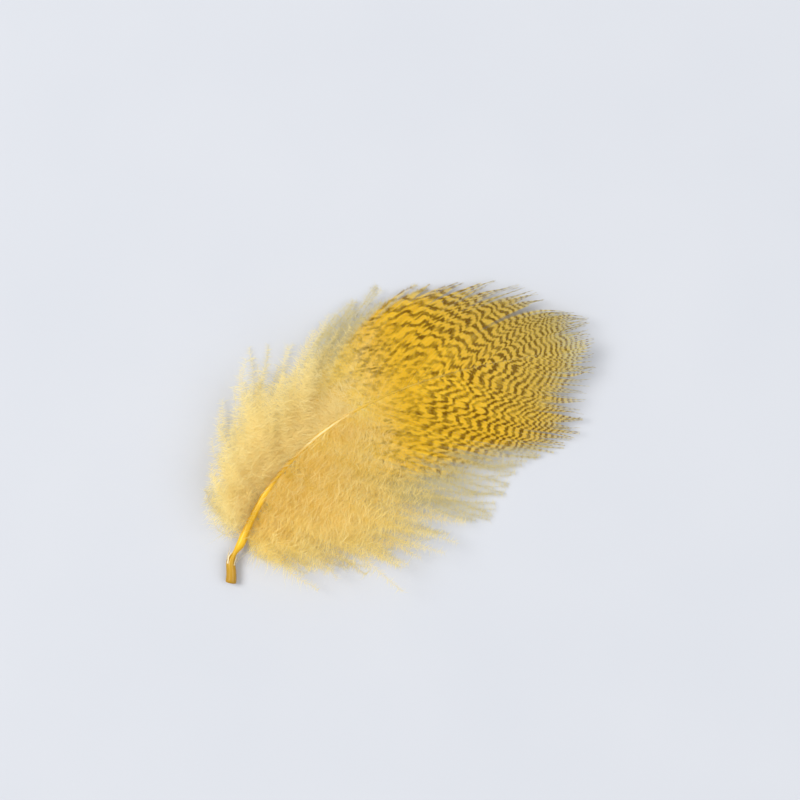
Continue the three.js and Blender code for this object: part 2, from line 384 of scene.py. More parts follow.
# Stage, in metres, with the camera's sensor in millimetres
FLOOR_SIZE = 3.0
FLOOR_SCALE = 30
FLOOR_RAMP = ((0.3, (0.545, 0.558, 0.592)), (0.7, (0.56, 0.571, 0.602)))
SKY_COLOUR = (0.93, 0.96, 1.0)
SKY_STRENGTH = 0.53
CAMERA_DISTANCE = 0.6
CAMERA_CLIP_START = 0.01
SENSOR_WIDTH = 36

# The photograph's frame: pixels, pixels to the millimetre, the quill's end, and the tilt of the feather's X.
FRAME_PIXELS = 800
PIXELS_PER_MM = 6.0
QUILL_PIXEL = (231, 583)
FEATHER_TILT = 33.2

# What differs between the feather's sides, with the sign of Y.
Side = namedtuple("Side", "name sign barbs splits hooked fluff bars paleness")
LEFT = Side("left", 1, LEFT_BARBS, LEFT_SPLITS, LEFT_HOOKED, LEFT_FLUFF, LEFT_BARS, LEFT_PAINTED_LIGHT)
RIGHT = Side("right", -1, RIGHT_BARBS, RIGHT_SPLITS, RIGHT_HOOKED, RIGHT_FLUFF, RIGHT_BARS, RIGHT_PAINTED_LIGHT)


def smooth(value, low, high):
    share = np.clip((value - low) / (high - low), 0, 1)
    return share * share * (3 - 2 * share)


def blend(first, second, share):
    return first + (second - first) * share


def bump(place, height, middle, length):
    return height * np.exp(-(((place - middle) / length) ** 2))


def scatter(number):
    wave = np.sin(number * SCATTER_STEP + SCATTER_START) * SCATTER_GAIN
    return wave - np.floor(wave)


def unit(vectors):
    return vectors / np.linalg.norm(vectors, axis=-1, keepdims=True)


def sideways(heading):
    return np.stack([-np.sin(heading), np.cos(heading), 0 * heading], -1)


def quads(a, b, c, d):
    """Two triangles for each quad, by the numbers of its corners."""
    return np.concatenate([np.stack(corners, -1).reshape(-1, 3) for corners in ((a, b, c), (a, c, d))])


def in_groups(count, smallest, largest, draw):
    """A drawn value for each barb, shared by groups of neighbours."""
    values = np.zeros(count)
    barb = 0
    while barb < count:
        group = int(chance.integers(smallest, largest + 1))
        values[barb:barb + group] = draw()
        barb += group
    return values


# The shaft's line
def shaft_samples():
    share = np.linspace(0, 1, SHAFT_SAMPLES)[:, None]
    rest = 1 - share
    a, b, c, d = np.array(SHAFT_CONTROLS, float)
    points = rest**3 * a + 3 * share * rest**2 * b + 3 * share**2 * rest * c + share**3 * d
    lengths = np.r_[0, np.cumsum(np.linalg.norm(np.diff(points, axis=0), axis=1))]
    return points, lengths


SHAFT_POINTS, SHAFT_LENGTHS = shaft_samples()
SHAFT_TANGENTS = unit(np.gradient(SHAFT_POINTS, axis=0))


def along_shaft(field, place):
    length = np.asarray(place, float) * SHAFT_LENGTHS[-1]
    return np.stack([np.interp(length, SHAFT_LENGTHS, field[:, axis]) for axis in range(3)], -1)


def shaft_heading(place):
    tangent = along_shaft(SHAFT_TANGENTS, place)
    return np.arctan2(tangent[..., 1], tangent[..., 0])


def shaft_radius(place):
    taper = SHAFT_TIP_RADIUS + (SHAFT_BASE_RADIUS - SHAFT_TIP_RADIUS) * (1 - place) ** SHAFT_TAPER
    return taper + bump(place, *QUILL_SWELL) - bump(place, *QUILL_NECK)


def shaft_centre(place):
    """The shaft's middle line with the quill's bend."""
    shift = sideways(shaft_heading(place)) * bump(place, *QUILL_BEND)[..., None]
    return along_shaft(SHAFT_POINTS, place) + shift


# Barb lines
def barb_rows(table, place):
    """Length, root angle, tip angle and tip height at places between a table's rows, its corners eased."""
    table = np.array(table, float)
    shifts = np.linspace(-TABLE_SMOOTHING, TABLE_SMOOTHING, TABLE_SMOOTHING_SAMPLES)
    columns = table[:, 1:].T
    return [np.mean([np.interp(place + s, table[:, 0], c) for s in shifts], axis=0) for c in columns]


def barb_lines(side, place, share, turn=0.0, stretch=1.0):
    """Points of arcs that leave the shaft's side, by barb and by share of its length, and their headings."""
    length, leave, end, tip_height = barb_rows(side.barbs, place)
    heading = shaft_heading(place)
    start = (heading + side.sign * np.radians(leave + turn))[:, None]
    bend = (side.sign * np.radians(end - leave))[:, None]
    stretch = np.broadcast_to(stretch, len(place))[:, None]
    offset = side.sign * shaft_radius(place) * ROOT_OFFSET
    root = along_shaft(SHAFT_POINTS, place) + sideways(heading) * offset[:, None]
    root[:, 2] += shaft_radius(place) * ROOT_LIFT
    headings = start + bend * share
    reach = length[:, None] * stretch
    x = root[:, :1] + reach * (np.sin(headings) - np.sin(start)) / bend
    y = root[:, 1:2] + reach * (np.cos(start) - np.cos(headings)) / bend
    z = blend(root[:, 2:], tip_height[:, None], (share * stretch) ** DROOP_POWER)
    return np.stack(np.broadcast_arrays(x, y, z), -1), headings


def along_barbs(field, barb, share):
    """A field known at each barb's steps, read at any shares along any barbs."""
    place = np.clip(share, 0, 1) * (field.shape[1] - 1)
    step = np.clip(place.astype(int), 0, field.shape[1] - 2)
    rest = (place - step)[(...,) + (None,) * (field.ndim - 2)]
    return field[barb, step] * (1 - rest) + field[barb, step + 1] * rest


class Barbs:
    """Lines of a set of barbs with their directions along, across and up."""

    def __init__(self, lines):
        self.lines = lines
        self.along = unit(np.gradient(lines, axis=1))
        up = np.array([0, 0, 1.0])
        self.across = unit(np.cross(up, self.along))
        self.up = np.cross(self.along, self.across)
        self.lengths = np.linalg.norm(np.diff(lines, axis=1), axis=2).sum(1)
        self.count, self.steps = lines.shape[:2]

    def row(self, barb, across):
        """Height on the baking map of a strand at a barb's middle (0) or at its edges (-1 and 1)."""
        return (barb + 0.5 + BAKE_REACH * across) / self.count


# Strands
class Strands:
    """One joined mesh, gathered strand by strand, with its attributes and the map that it bakes through."""

    def __init__(self):
        self.points = []
        self.faces = []
        self.maps = []
        self.values = {}
        self.count = 0

    def add(self, points, faces, uv, **values):
        self.points.append(points)
        self.faces.append(faces + self.count)
        self.maps.append(uv)
        for name, value in values.items():
            self.values.setdefault(name, []).append(np.broadcast_to(value, len(points)))
        self.count += len(points)

    def build(self, name):
        points = np.concatenate(self.points)
        faces = np.concatenate(self.faces)
        corners = np.concatenate(self.maps)[faces]
        points[:, 2] = np.maximum(points[:, 2], SURFACE_CLEARANCE)
        mesh = bpy.data.meshes.new(name)
        mesh.vertices.add(len(points))
        mesh.vertices.foreach_set("co", ((points + ROW_SHIFT) * MM).astype(np.float32).ravel())
        mesh.loops.add(faces.size)
        mesh.loops.foreach_set("vertex_index", faces.astype(np.int32).ravel())
        mesh.polygons.add(len(faces))
        mesh.polygons.foreach_set("loop_start", np.arange(0, faces.size, 3, dtype=np.int32))
        mesh.update(calc_edges=True)
        layer = mesh.uv_layers.new(name="OFBake")
        layer.data.foreach_set("uv", corners.astype(np.float32).ravel())
        for label, parts in self.values.items():
            attribute = mesh.attributes.new(label, "FLOAT", "POINT")
            attribute.data.foreach_set("value", np.concatenate(parts).astype(np.float32))
        mesh.validate()
        piece = bpy.data.objects.new(name, mesh)
        bpy.context.collection.objects.link(piece)
        return piece


def finish_piece(piece, node, material):
    piece.data.materials.append(material)
    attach(piece, "root")
    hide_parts(node)


def add_rami(strands, barbs, radius, paint):
    """The barbs' own stalks: three-sided, and thin at the tip from a radius at the root."""
    shares = np.linspace(0, 1, barbs.steps)
    angles = np.radians(RAMUS_CORNERS)[:, None]
    ring = np.cos(angles) * barbs.across[:, :, None] + np.sin(angles) * barbs.up[:, :, None]
    thickness = radius * blend(1.0, RAMUS_TIP, shares)
    points = barbs.lines[:, :, None] + ring * thickness[None, :, None, None]
    index = np.arange(points[..., 0].size).reshape(points.shape[:3])
    following = np.roll(index, -1, axis=2)
    faces = quads(index[:, :-1], index[:, 1:], following[:, 1:], following[:, :-1])
    barb = np.broadcast_to(np.arange(barbs.count)[:, None, None], index.shape).ravel()
    share = np.broadcast_to(shares[None, :, None], index.shape).ravel()
    lean = np.broadcast_to(BAKE_STALK * np.cos(angles[:, 0]), index.shape).ravel()
    flat = points.reshape(-1, 3)
    uv = np.stack([share, barbs.row(barb, lean)], -1)
    strands.add(flat, faces, uv, **paint(flat, barb, share), tone=scatter(barb))


class Sites:
    """Where barbules leave their barbs: barb, share of its length, side, and the spacing as a share."""

    def __init__(self, barbs, spacing):
        counts = np.maximum(FEWEST_BARBULES, (barbs.lengths / spacing).astype(int))
        barb = np.repeat(np.arange(barbs.count), counts)
        first = np.repeat(np.cumsum(counts) - counts, counts)
        share = (np.arange(len(barb)) - first + chance.uniform(*BARBULE_SHIFTS, len(barb))) / counts[barb]
        self.barb = np.tile(barb, 2)
        self.share = np.tile(share, 2)
        self.side = np.repeat([1.0, -1.0], len(barb))
        self.pitch = np.tile(1 / counts[barb], 2)

    def keep(self, chosen):
        self.barb, self.share, self.side, self.pitch = (
            field[chosen] for field in (self.barb, self.share, self.side, self.pitch)
        )

    def read(self, field):
        """A field known at each barb's steps, read at the sites."""
        return along_barbs(field, self.barb, self.share)


def add_barbules(strands, barbs, sites, length, width, angle, sink, segments, paint, curl=0.0):
    """Tapering blades that leave the barbs at an angle, with their tips let down by sink."""
    fields = (barbs.lines, barbs.along, barbs.across, barbs.up)
    point, along, across, up = (sites.read(field) for field in fields)
    out = across * sites.side[:, None]
    columns = []
    shares = []
    leans = []
    for step in range(segments + 1):
        way = step / segments
        if step:
            turn = angle + curl * (way - 0.5 / segments)
            stride = along * np.cos(turn)[:, None] + out * np.sin(turn)[:, None]
            point = point + (stride * length[:, None] - up * sink[:, None]) / segments
        for edge in (-0.5, 0.5) if step < segments else (0.0,):
            columns.append(point + along * (edge * (1 - way) * width[:, None]))
            shares.append(sites.share + edge * sites.pitch)
            leans.append(sites.side * blend(BAKE_STALK, 1.0, way))
    points = np.stack(columns, 1)
    index = np.arange(points[..., 0].size).reshape(points.shape[:2])
    faces = [index[:, -3:]]
    for first in range(0, 2 * segments - 2, 2):
        faces.append(quads(*(index[:, first + corner] for corner in (0, 1, 3, 2))))
    flat = points.reshape(-1, 3)
    barb = np.repeat(sites.barb, points.shape[1])
    share = np.clip(np.stack(shares, 1).ravel(), 0, 1)
    uv = np.stack([share, barbs.row(barb, np.stack(leans, 1).ravel())], -1)
    tone = scatter(np.repeat(np.arange(len(sites.barb)), points.shape[1]))
    strands.add(flat, np.concatenate(faces), uv, **paint(flat, barb, share), tone=tone)


# Bars
def bar_offsets(count):
    """Where each barb's bars stand, in bars: a zigzag over the barbs, with a step now and then."""
    fewest, most = ZIGZAG_BARBS
    knots = np.cumsum(np.r_[0, chance.integers(fewest, most + 1, count // fewest)])
    heights = chance.uniform(*ZIGZAG_HEIGHTS, len(knots)) * np.resize([1, -1], len(knots))
    zigzag = np.interp(np.arange(count), knots, heights)
    steps = in_groups(count, *STEP_BARBS, lambda: chance.uniform(-STEP_HEIGHT, STEP_HEIGHT))
    return zigzag + steps + chance.normal(0, OFFSET_SPREAD, count)


def bar_pitch(radius):
    return blend(*BAR_PITCHES, smooth(radius, *BAR_PITCH_RANGE))


def ring_radius(points, centre):
    away = points[..., :2] - centre
    return np.sqrt((away**2).sum(-1) + BAR_CENTRE_SOFTNESS**2) - BAR_CENTRE_SOFTNESS


def bar_rings(points, centre):
    """How many bars lie between a point and the middle of the rings."""
    radii = np.linspace(0, BAR_REACH, BAR_SAMPLES)
    counts = np.cumsum(radii[1] / bar_pitch(radii))
    return np.interp(ring_radius(points, centre), radii, counts)


def bars_from_root(lines, centre):
    """How many bars lie between each barb's root and each of its steps."""
    strides = np.linalg.norm(np.diff(lines, axis=1), axis=2)
    counts = np.cumsum(strides / bar_pitch(ring_radius(lines[:, 1:], centre)), axis=1)
    return np.concatenate([np.zeros((len(lines), 1)), counts], 1)


def bar_warp():
    """A function for how far the bars wander over the vanes, in bars: a sum of waves of all directions."""
    turn, start = chance.uniform(0, 2 * np.pi, (2, WARP_WAVES))
    wave_length = chance.uniform(*WARP_LENGTHS, WARP_WAVES)

    def warp(points):
        run = points[:, :1] * np.cos(turn) + points[:, 1:2] * np.sin(turn)
        waves = np.sin(2 * np.pi * run / wave_length + start)
        return WARP_HEIGHT * waves.sum(1) / math.sqrt(WARP_WAVES)
    return warp


def past_start(points):
    """How far a point lies past the slanted line where the bars set in."""
    return points[..., 0] - BAR_START - BAR_START_SLANT * points[..., 1]


def bar_strength(points, lead):
    """How strong the bars are at a point, from none near the down, and how far dashes stand for them."""
    past = past_start(points) - bump(points[:, 1], *BAR_START_DELAY)
    return smooth(past + lead, *BAR_FADE), 1 - smooth(past, *DASH_FADE)


def bar_paint(lines, fuzz, loose, warp, bars):
    """A function for what colours a vane's points: bars, nearness to the tip, downiness and looseness."""
    from_root = bars_from_root(lines, bars.centre)
    offsets = bar_offsets(len(lines))
    early = chance.normal(0, EARLY_SPREAD, len(lines))
    wave_start = np.cumsum(chance.normal(0, WANDER_DRIFT, len(lines)))
    wave_length = chance.uniform(*WANDER_WAVES, len(lines))

    def paint(points, barb, share):
        depth, dashed = bar_strength(points, bars.lead)
        wander = WANDER_HEIGHT * np.sin(wave_start[barb] + share * wave_length[barb])
        along = along_barbs(from_root, barb, share)
        count = blend(bar_rings(points, bars.centre), along, bars.share_along)
        free = along_barbs(loose, barb, share)
        downy = along_barbs(fuzz, barb, share)
        softened = blend(1.0, LOOSE_BAR_DEPTH, free) * blend(1.0, blend(*DOWNY_BAR_DEPTHS, free), downy)
        return {
            "bar_phase": count + warp(points) + offsets[barb] + wander + early[barb] * (1 - depth),
            "bar_depth": depth * softened,
            "bar_dashed": dashed,
            "tip": np.interp(points[:, 0], VANE_TIP, (0, 1)),
            "downy": downy,
            "loose": free,
            "streak": scatter(barb),
        }
    return paint


# Vanes
def beyond(starts, shares):
    """How far along the rest of each barb a share of it lies, past the barb's start."""
    return np.clip((shares - starts[:, None]) / (1 - starts[:, None]), 0, 1)


def barb_places(side):
    """Places of a vane's barbs: even along the shaft where they leave it steeply, else sparser."""
    fine = np.linspace(VANE_FROM, 1, CROWDING_SAMPLES)
    leave = barb_rows(side.barbs, fine)[1]
    crowding = np.cumsum(np.maximum(np.sin(np.radians(leave)), LEAST_CROWDING))
    even = np.linspace(crowding[0], crowding[-1], VANE_BARBS)
    places = np.interp(even, crowding, fine) + chance.normal(0, VANE_PLACE_SPREAD, VANE_BARBS)
    return np.sort(np.clip(places, VANE_FROM, 1))


def lock_lines(side, places, shares, clumping):
    """Barb lines that draw together into locks beyond each lock's notches, as the frame's vanes do."""
    lines, _ = barb_lines(side, places, shares)
    along_locks = (places - SEAMS_FROM) / (1 - SEAMS_FROM) * VANE_LOCKS
    lock = np.clip(np.floor(along_locks).astype(int), 0, VANE_LOCKS - 1)
    within = np.clip(along_locks - lock, 0, 1)
    middle_places = SEAMS_FROM + (lock + 0.5) / VANE_LOCKS * (1 - SEAMS_FROM)
    middles, _ = barb_lines(side, middle_places, shares)
    usual = [NOTCH_STATIONS[seam % len(NOTCH_STATIONS)] for seam in range(VANE_LOCKS + 1)]
    notches = np.array([side.splits.get(seam, station) for seam, station in enumerate(usual)])
    notch = blend(notches[lock], notches[lock + 1], smooth(within, *NOTCH_CHANGE)) / VANE_STATIONS
    drawn = np.where(places >= SEAMS_FROM, clumping, 0.0)[:, None] * beyond(notch, shares)
    return blend(lines, middles, drawn[..., None])


def stray_lines(lines, hooked, shares):
    """Barbs that part beyond their hooked share: strands of a few barbs go their own way."""
    barbs = Barbs(lines)
    count = barbs.count
    free = beyond(hooked, shares) ** STRAY_POWER
    across = in_groups(count, *STRAY_GROUPS, lambda: chance.normal(0, STRAY_ACROSS))
    across += chance.normal(0, STRAY_APART, count)
    upward = in_groups(count, *STRAY_UP_GROUPS, lambda: chance.normal(0, STRAY_UP))
    lines = lines + barbs.across * (free * across[:, None])[..., None]
    lines[..., 2] += free * upward[:, None] + chance.normal(0, STRAY_SLOPE, count)[:, None] * shares
    return lines


def vane_lines(side, places, hooked, fluff, fluffy, shares):
    """A vane's barbs: in locks, straying and swaying at their ends, and of uneven lengths."""
    every = np.arange(VANE_BARBS)
    clumping = blend(VANE_CLUMPING, FLUFF_CLUMPING, fluff)
    lines = stray_lines(lock_lines(side, places, shares, clumping), hooked, shares)
    sway = FLUFF_SWAY * np.sin(2 * np.pi * scatter(every)[:, None] + FLUFF_WAVES * shares)
    lines += Barbs(lines).across * (sway * fluffy)[..., None]
    cover = ROOT_COVER * shaft_radius(places) * smooth(places, *ROOT_COVER_PLACES)
    lines[..., 2] += cover[:, None] * (1 - shares) ** ROOT_COVER_POWER
    ends = 1 - blend(VANE_END_SPREAD, FLUFF_END_SPREAD, fluff) * chance.random(VANE_BARBS) ** 2
    return np.stack([along_barbs(lines, every, share * ends) for share in shares], 1)


def neighbour_gaps(barbs):
    """How far each step of each barb lies from the next barb, and from the one before."""
    to_next = np.abs(np.einsum("bsk,bsk->bs", np.diff(barbs.lines, axis=0), barbs.across[:-1]))
    return np.concatenate([to_next, to_next[-1:]]), np.concatenate([to_next[:1], to_next])


def barbule_lengths(sites, gap, downy, bare):
    """Hooked barbules bridge the gap to the next barb. Downy ones are long, those of bare ends short."""
    count = len(gap)
    bridge = VANE_BARBULE_OVERLAP * gap / np.sin(np.radians(VANE_BARBULE_ANGLE))
    hooked_length = np.clip(bridge, *VANE_BARBULE_LENGTHS)
    length = blend(hooked_length, FUZZ_LENGTH * chance.uniform(*LOOSE_LENGTHS, count), downy)
    length *= blend(1.0, LOOSE_BARBULE_LENGTH, bare) * chance.uniform(*VANE_BARBULE_LENGTH_SPREAD, count)
    end = smooth(sites.share, *VANE_BARBULE_SHORTENS)
    return length * (blend(1.0, FLUFF_TIP, downy * end) * blend(1.0, FRINGE_TIP, bare * end))


def add_vane_barbules(strands, barbs, side, fluff, loose, fluffy, fuzz, paint):
    """Hooked barbules, which turn into long soft ones where the vane is downy."""
    sites = Sites(barbs, VANE_BARBULE_SPACING)
    kept = blend(LOOSE_BARBULES_KEPT, FLUFF_KEPT, fluff)[sites.barb]
    dropped = sites.read(loose) * (1 - kept)
    sites.keep(chance.random(len(dropped)) > dropped)
    count = len(sites.barb)
    bare = sites.read(loose - fluffy)
    downy = sites.read(fuzz)
    forward = sites.side * side.sign < 0
    gap = np.where(forward, *(sites.read(gaps) for gaps in neighbour_gaps(barbs)))
    lean = blend(VANE_BARBULE_ANGLE, FUZZ_ANGLE, downy)
    lean_spread = blend(VANE_BARBULE_ANGLE_SPREAD, FUZZ_ANGLE_SPREAD, downy)
    angle = np.radians(lean + chance.normal(0, 1, count) * lean_spread)
    length = barbule_lengths(sites, gap, downy, bare)
    sink_spread = blend(VANE_BARBULE_SINK_SPREAD, FUZZ_SINK_SPREAD * length, downy)
    sink = np.where(forward, *VANE_BARBULE_SINKS) + chance.normal(0, 1, count) * sink_spread
    width = blend(VANE_BARBULE_WIDTH, FUZZ_WIDTH, downy)
    add_barbules(strands, barbs, sites, length, width, angle, sink, VANE_BARBULE_SEGMENTS, paint)


def make_vane(side, warp, material):
    shares = np.linspace(0, 1, VANE_STEPS)
    places = barb_places(side)
    hooked = np.interp(places, *np.array(side.hooked).T) + chance.normal(0, HOOKED_SPREAD, VANE_BARBS)
    fluff = 1 - smooth(places, *side.fluff)
    loose = smooth(shares - hooked[:, None], *LOOSE_RANGE)
    fluffy = loose * fluff[:, None]
    lines = vane_lines(side, places, hooked, fluff, fluffy, shares)
    barbs = Barbs(lines)
    fuzz = np.maximum(fluffy, 1 - smooth(past_start(lines), *FUZZ_RANGE))
    paint = bar_paint(lines, fuzz, loose, warp, side.bars)
    strands = Strands()
    add_rami(strands, barbs, VANE_RAMUS_RADIUS, paint)
    add_vane_barbules(strands, barbs, side, fluff, loose, fluffy, fuzz, paint)
    name = f"{side.name}_vane"
    finish_piece(strands.build(f"{name}_barbs"), name, material)


# Down
def lock_half_width(shares):
    """Half the width that a downy lock's barbs fan out over, along the lock."""
    swell = np.sin(np.pi * np.minimum(1, shares + DOWN_WIDEST_LEAD))
    ends = blend(DOWN_ROOT_HALF_WIDTH, DOWN_TIP_HALF_WIDTH, shares)
    half = np.maximum(ends + (DOWN_HALF_WIDTH - ends) * swell, DOWN_TIP_FAN)
    return half * smooth(shares, 0, DOWN_FANS_BY)


def down_lock(side, lock, shares):
    """The loose barbs of one of the frame's downy locks."""
    count = DOWN_BARBS_PER_LOCK
    tier = lock % len(DOWN_TIERS)
    place = blend(DOWN_FROM, DOWN_TO, lock / (DOWN_LOCKS - 1))
    turn = DOWN_ANGLE_SPREAD * (2 * scatter(lock) - 1)
    stretch = 1 - DOWN_LENGTH_SPREAD * scatter(lock + DOWN_LOCKS)
    places = place + chance.uniform(-DOWN_PLACE_SPREAD, DOWN_PLACE_SPREAD, count)
    turns = turn + np.clip(chance.normal(0, DOWN_TURN_SPREAD, count), -DOWN_TURN_MOST, DOWN_TURN_MOST)
    spread = blend(*DOWN_BARB_SPREAD, smooth(place, *DOWN_EVEN_PLACES))
    stretches = stretch * (DOWN_LONGEST - spread * chance.random(count) ** DOWN_BARB_SPREAD_POWER)
    lines, headings = barb_lines(side, places, shares, turns, stretches)
    half = lock_half_width(shares)
    fan = chance.uniform(-DOWN_FAN, DOWN_FAN, (count, 1)) * half
    stack = chance.uniform(-DOWN_STACK, DOWN_STACK, (count, 1)) * half * DOWN_FLATNESS
    settled = blend(lines[:, :1, 2], DOWN_TIERS[tier], smooth(shares, 0, DOWN_SETTLES_BY))
    wave = chance.uniform(0, 2 * np.pi, (count, 1)) + shares * chance.uniform(*DOWN_WAVES, (count, 1))
    aside = fan + DOWN_SWAY * np.sin(wave) * shares
    bob = DOWN_BOB * np.cos(wave * DOWN_BOB_WAVES) * shares
    lines += sideways(headings) * aside[..., None]
    lines[..., 2] = settled + DOWN_ARCH[tier] * np.sin(np.pi * shares) + stack + bob
    return lines


def veil_lines(side, shares):
    """Short loose barbs that arch over the down's hollow, the shaft's shoulder and the vane's beginning.

    With them goes how much of its barbules' length each barb has at its root.
    """
    places = chance.uniform(*VEIL_PLACES, VEIL_BARBS)
    thin = smooth(places, *VEIL_THINS)
    turns = chance.normal(0, VEIL_TURN_SPREAD, VEIL_BARBS)
    stretches = blend(*VEIL_STRETCH, chance.random(VEIL_BARBS) ** VEIL_STRETCH_POWER)
    stretches *= blend(1.0, VEIL_THIN_STRETCH, thin)
    lines, _ = barb_lines(side, places, shares, turns, stretches)
    lift = chance.uniform(*VEIL_LIFTS, (VEIL_BARBS, 1)) * np.sqrt(shares)
    arch = chance.uniform(*VEIL_ARCHES, VEIL_BARBS) * (1 - thin)
    cover = bump(places, *VEIL_COVER)
    lines[..., 2] += lift + arch[:, None] * np.sin(np.pi * shares)
    lines[..., 2] += cover[:, None] * (1 - shares) ** VEIL_COVER_POWER
    return lines, blend(DOWN_BARE_SHARE, 1.0, smooth(places, *VEIL_BARE_TO))


def downy_strands(lines, bare_share, paleness):
    """Loose barbs with long soft barbules, shorter by each barb's bare_share at its root."""
    # Each point carries its side's share of painted light.
    def paint(_points, _barb, share):
        return {"along": share, "pale": paleness}

    barbs = Barbs(lines)
    strands = Strands()
    add_rami(strands, barbs, DOWN_RAMUS_RADIUS, paint)
    sites = Sites(barbs, DOWN_BARBULE_SPACING)
    count = len(sites.barb)
    angle = np.radians(DOWN_BARBULE_ANGLE + chance.normal(0, DOWN_BARBULE_ANGLE_SPREAD, count))
    tuft = scatter(np.arange(count)) > TUFT_FROM
    from_root = sites.share * barbs.lengths[sites.barb]
    shortened = blend(1.0, DOWN_BARBULE_TIP_LENGTH, smooth(sites.share, *DOWN_BARBULE_SHORTENS))
    length = DOWN_BARBULE_LENGTH * shortened
    length *= chance.uniform(*LOOSE_LENGTHS, count) * np.where(tuft, TUFT_LENGTH, 1.0)
    length *= blend(bare_share[sites.barb], 1.0, smooth(from_root, 0, DOWN_BARE_LENGTH))
    sink = -np.clip(chance.normal(0, DOWN_RISE_SPREAD, count), *DOWN_RISE) * length
    curl = chance.normal(0, DOWN_CURL_SPREAD, count)
    width = np.where(tuft, TUFT_WIDTH, DOWN_BARBULE_WIDTH)
    add_barbules(strands, barbs, sites, length, width, angle, sink, DOWN_BARBULE_SEGMENTS, paint, curl)
    return strands


def make_down(side, material):
    """Loose barbs that fill the frame's downy locks and reach their tips."""
    shares = np.linspace(0, 1, DOWN_STEPS)
    lines = np.concatenate([down_lock(side, lock, shares) for lock in range(DOWN_LOCKS)])
    strands = downy_strands(lines, np.full(len(lines), DOWN_BARE_SHARE), side.paleness)
    name = f"{side.name}_down"
    finish_piece(strands.build(f"{name}_barbs"), name, material)


def make_veil(side, material):
    lines, bare_share = veil_lines(side, np.linspace(0, 1, DOWN_STEPS))
    strands = downy_strands(lines, bare_share, side.paleness)
    finish_piece(strands.build(f"{side.name}_veil"), f"{side.name}_down", material)


# Shaft
def shaft_surface(place, around, radius):
    """Points on rings around the shaft."""
    across = sideways(shaft_heading(place))
    points = shaft_centre(place) + across * (radius * np.cos(around))[..., None]
    points[..., 2] += radius * np.sin(around)
    return points


def tube_faces(index):
    """Faces of a closed tube, by the numbers of its points in rings, each of which ends where it starts."""
    near, far = index[:-1], index[1:]
    fan = range(1, index.shape[1] - 2)
    return np.concatenate([
        quads(near[:, :-1], near[:, 1:], far[:, 1:], far[:, :-1]),
        [(index[0, 0], index[0, corner + 1], index[0, corner]) for corner in fan],
        [(index[-1, 0], index[-1, corner], index[-1, corner + 1]) for corner in fan],
    ])


def add_horn(strands, warp):
    """The shaft itself: a hollow at the quill's end, and a groove along its underside."""
    mouth_places, mouth_scales = np.array(QUILL_MOUTH).T
    rings = np.r_[mouth_places, np.linspace(HORN_FIRST_RING, 1, HORN_RINGS) ** HORN_RING_POWER]
    scale = np.r_[mouth_scales, np.ones(HORN_RINGS)]
    corners = np.linspace(-0.5 * np.pi, 1.5 * np.pi, HORN_SIDES + 1)
    place, around = np.meshgrid(rings, corners, indexing="ij")
    from_below = np.abs(np.angle(np.exp(1j * (around + 0.5 * np.pi))))
    groove = bump(from_below, *HORN_GROOVE) * smooth(place, *HORN_GROOVE_PLACES)
    points = shaft_surface(place, around, shaft_radius(place) * scale[:, None] * (1 - groove))
    flat = points.reshape(-1, 3)
    faces = tube_faces(np.arange(place.size).reshape(place.shape))
    rows = np.linspace(0, HORN_BAKE_END, len(rings))
    columns = np.linspace(0, 1, len(corners))
    uv = np.stack(np.meshgrid(rows, columns, indexing="ij"), -1).reshape(-1, 2)
    depth, dashed = bar_strength(flat, RIGHT_BARS.lead)
    phase = bar_rings(flat, RIGHT_BARS.centre) + warp(flat)
    bars = {"bar_phase": phase, "bar_depth": depth, "bar_dashed": dashed}
    # ridge is the height around each ring: the shaft's painted highlight goes where it is high.
    strands.add(flat, faces, uv, along=place.ravel(), ridge=np.sin(around).ravel(), scrap=0.0, **bars)


def add_sheath(strands):
    """Pale scraps of the worn sheath that stand around the quill's neck."""
    way = np.array(SCRAP_WAYS)
    for scrap in range(SHEATH_SCRAPS):
        around = np.pi * (scrap % FAR_SCRAP_EVERY == 0) + chance.normal(0, SCRAP_TURN_SPREAD)
        start = QUILL_NECK_PLACE + chance.uniform(*SCRAP_STARTS)
        length = chance.uniform(*SCRAP_LENGTHS) / SHAFT_LENGTHS[-1]
        half = chance.uniform(*SCRAP_HALF_ANGLES)
        flare = chance.uniform(*SCRAP_FLARES)
        lean = np.array([*SCRAP_LEANS, chance.uniform(-SCRAP_TIP_LEAN, SCRAP_TIP_LEAN)])
        place = start + length * way
        radius = shaft_radius(start) + SCRAP_CLEARANCE + flare * way
        points = shaft_surface(place, around + half * lean, radius)
        row = (scrap + 0.5 + SCRAP_BAKE_REACH * lean) / SHEATH_SCRAPS
        uv = np.stack([blend(*SCRAP_BAKE, way), row], -1)
        bars = {"bar_phase": 0.0, "bar_depth": 0.0, "bar_dashed": 0.0}
        strands.add(points, np.array(SCRAP_FACES), uv, along=place, ridge=0.0, scrap=1.0, **bars)


def make_shaft(warp, material):
    strands = Strands()
    add_horn(strands, warp)
    add_sheath(strands)
    piece = strands.build("shaft_horn")
    piece.data.polygons.foreach_set("use_smooth", np.ones(len(piece.data.polygons), bool))
    finish_piece(piece, "shaft", material)


